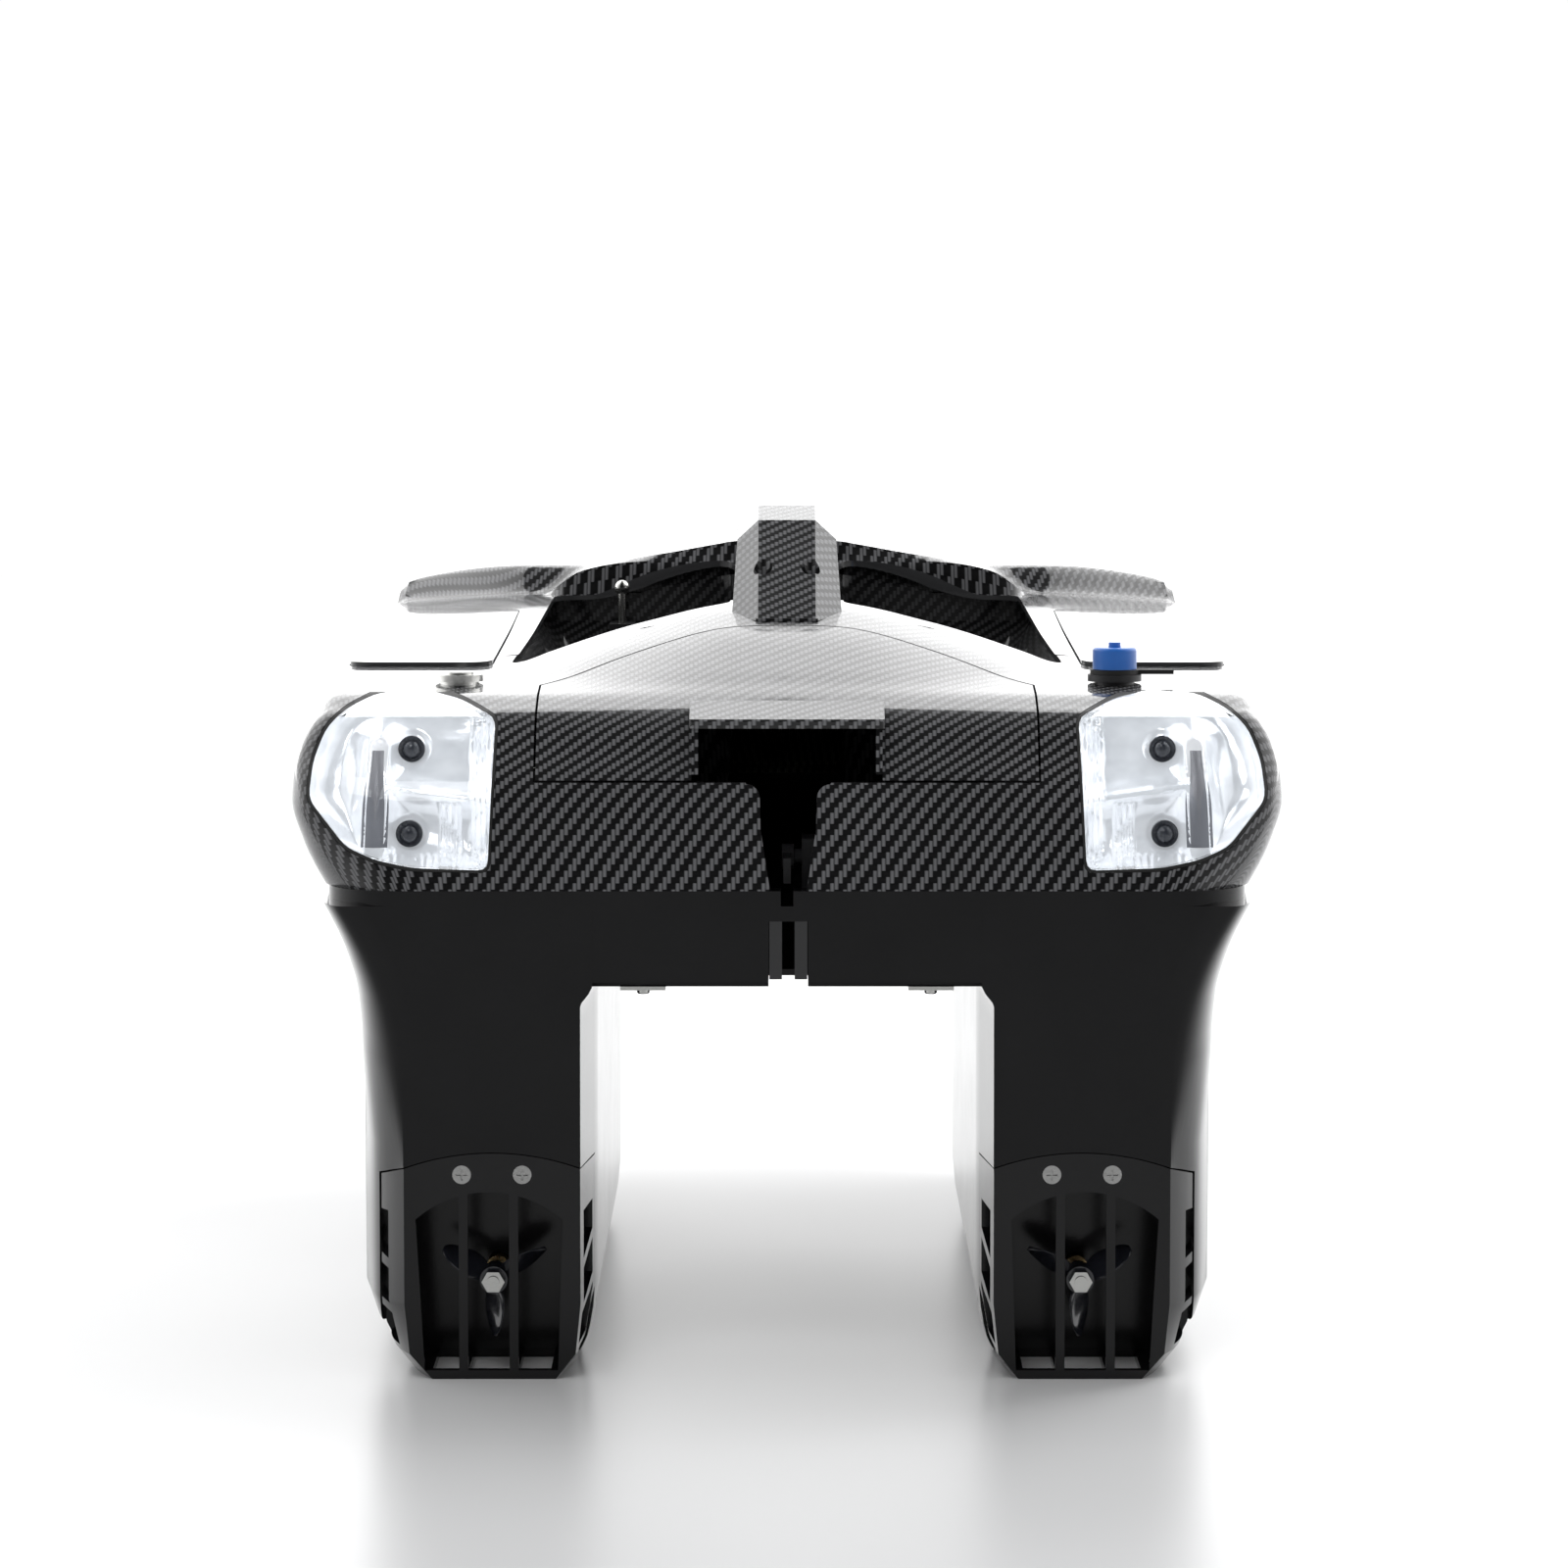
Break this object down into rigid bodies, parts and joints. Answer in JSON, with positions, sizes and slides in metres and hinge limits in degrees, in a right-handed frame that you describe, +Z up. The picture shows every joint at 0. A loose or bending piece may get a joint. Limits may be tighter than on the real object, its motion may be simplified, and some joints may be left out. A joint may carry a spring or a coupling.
{
  "type": "radio-controlled bait boat",
  "caption": "Twin-hull radio-controlled fishing bait boat with caged propellers, two bottom-opening bait hoppers, corner lamps, side lids and a carry handle.",
  "frame": {"origin": "on the floor below the middle of the boat (bottom centre of the bounding box)", "axes": "+Z up, +Y towards the bow, +X to starboard"},
  "size_m": [0.4114, 0.6, 0.3395],
  "materials": {
    "alloy": "machined",
    "battery_blue": "shrink film",
    "brass": "turned",
    "bulb_glass": "clear",
    "cap_blue": "satin",
    "carbon_print": "gloss clear coat over a printed twill weave",
    "connector_black": "satin",
    "door_black": "satin",
    "guard_black": "high gloss",
    "handle_black": "gloss",
    "hood_black": "high gloss",
    "hull_black": "high gloss",
    "inner_black": "satin",
    "lamp_chrome": "vacuum plated",
    "lamp_clear": "clear, fluted inside",
    "motor_steel": "plated can",
    "prop_black": "gloss",
    "screw_black": "black oxide",
    "seal_rubber": "matt",
    "steel": "bright stainless",
    "switch_metal": "bright",
    "tub_carbon": "gloss, printed weave"
  },
  "bodies": {
    "hull": {"battery_port": "battery_blue", "battery_starboard": "battery_blue", "battery_trays": "inner_black", "bow_lights": "bulb_glass", "bridge_pan": "hull_black", "cap_tether": "seal_rubber", "carry_handle": "handle_black", "connector_body": "connector_black", "control_box": "inner_black", "deck_shell": "carbon_print", "door_hinge_pins": "steel", "door_servo_port": "inner_black", "door_servo_starboard": "inner_black", "drive_motor_port": "motor_steel", "drive_motor_starboard": "motor_steel", "guard_screws": "steel", "handle_screws": "screw_black", "hopper_tub_port": "tub_carbon", "hopper_tub_starboard": "tub_carbon", "hull_shell_port": "hull_black", "hull_shell_starboard": "hull_black", "lamp_bulbs_port": "bulb_glass", "lamp_bulbs_starboard": "bulb_glass", "lamp_gasket_port": "seal_rubber", "lamp_gasket_starboard": "seal_rubber", "lamp_lens_port": "lamp_clear", "lamp_lens_starboard": "lamp_clear", "lamp_reflector_port": "lamp_chrome", "lamp_reflector_starboard": "lamp_chrome", "latch_plates": "steel", "latch_screws": "steel", "motor_mounts": "alloy", "position_sensor": "inner_black", "prop_guard_port": "guard_black", "prop_guard_starboard": "guard_black", "pull_pin_socket": "door_black", "receiver": "inner_black", "release_servo": "inner_black", "rim_band": "hull_black", "slot_cheek_plates": "hull_black", "stern_tubes": "brass", "switch_bezel": "switch_metal"},
    "stern_hatch": {"stern_hatch": "carbon_print", "hatch_hood": "hood_black"},
    "lid_port": {"side_lid_port": "carbon_print"},
    "lid_starboard": {"side_lid_starboard": "carbon_print"},
    "door_port": {"hopper_door_port": "door_black"},
    "door_starboard": {"hopper_door_starboard": "door_black"},
    "drive_port": {"propeller_port": "prop_black", "prop_shaft_port": "steel", "prop_nut_port": "steel", "shaft_coupling_port": "alloy"},
    "drive_starboard": {"propeller_starboard": "prop_black", "prop_shaft_starboard": "steel", "prop_nut_starboard": "steel", "shaft_coupling_starboard": "alloy"},
    "line_release": {"release_arm": "inner_black"},
    "cap": {"connector_cap": "cap_blue"},
    "power_button": {"switch_button": "switch_metal"},
    "pin": {"pull_pin": "steel"}
  },
  "joints": [
    {"name": "stern_hatch_hinge", "type": "hinge", "parent": "hull", "child": "stern_hatch", "pos_m": [0, -0.1722, 0.2945], "axis": [-1, 0, 0], "range_deg": [0, 60]},
    {"name": "lid_port_hinge", "type": "hinge", "parent": "hull", "child": "lid_port", "pos_m": [-0.154, 0.1002, 0.2862], "axis": [-1, 0, 0], "range_deg": [0, 80]},
    {"name": "lid_starboard_hinge", "type": "hinge", "parent": "hull", "child": "lid_starboard", "pos_m": [0.154, 0.1002, 0.2862], "axis": [-1, 0, 0], "range_deg": [0, 80]},
    {"name": "door_port_hinge", "type": "hinge", "parent": "hull", "child": "door_port", "pos_m": [-0.072, 0, 0.1542], "axis": [0, 1, 0], "range_deg": [0, 85]},
    {"name": "door_starboard_hinge", "type": "hinge", "parent": "hull", "child": "door_starboard", "pos_m": [0.072, 0, 0.1542], "axis": [0, -1, 0], "range_deg": [0, 85]},
    {"name": "propeller_port_spin", "type": "hinge", "parent": "hull", "child": "drive_port", "pos_m": [-0.117, -0.283, 0.038], "axis": [0, 1, 0], "continuous": true},
    {"name": "propeller_starboard_spin", "type": "hinge", "parent": "hull", "child": "drive_starboard", "pos_m": [0.117, -0.283, 0.038], "axis": [0, 1, 0], "continuous": true},
    {"name": "line_release_swing", "type": "hinge", "parent": "hull", "child": "line_release", "pos_m": [0, -0.251, 0.204], "axis": [-1, 0, 0], "range_deg": [0, 60]},
    {"name": "connector_cap_lift", "type": "slide", "parent": "hull", "child": "cap", "axis": [0, 0, 1], "range_m": [0, 0.02]},
    {"name": "power_button_press", "type": "slide", "parent": "hull", "child": "power_button", "axis": [0, 0, -1], "range_m": [0, 0.0015], "stiffness_N_per_m": 1500},
    {"name": "pull_pin_lift", "type": "slide", "parent": "hull", "child": "pin", "axis": [0, 0, 1], "range_m": [0, 0.022]}
  ]
}
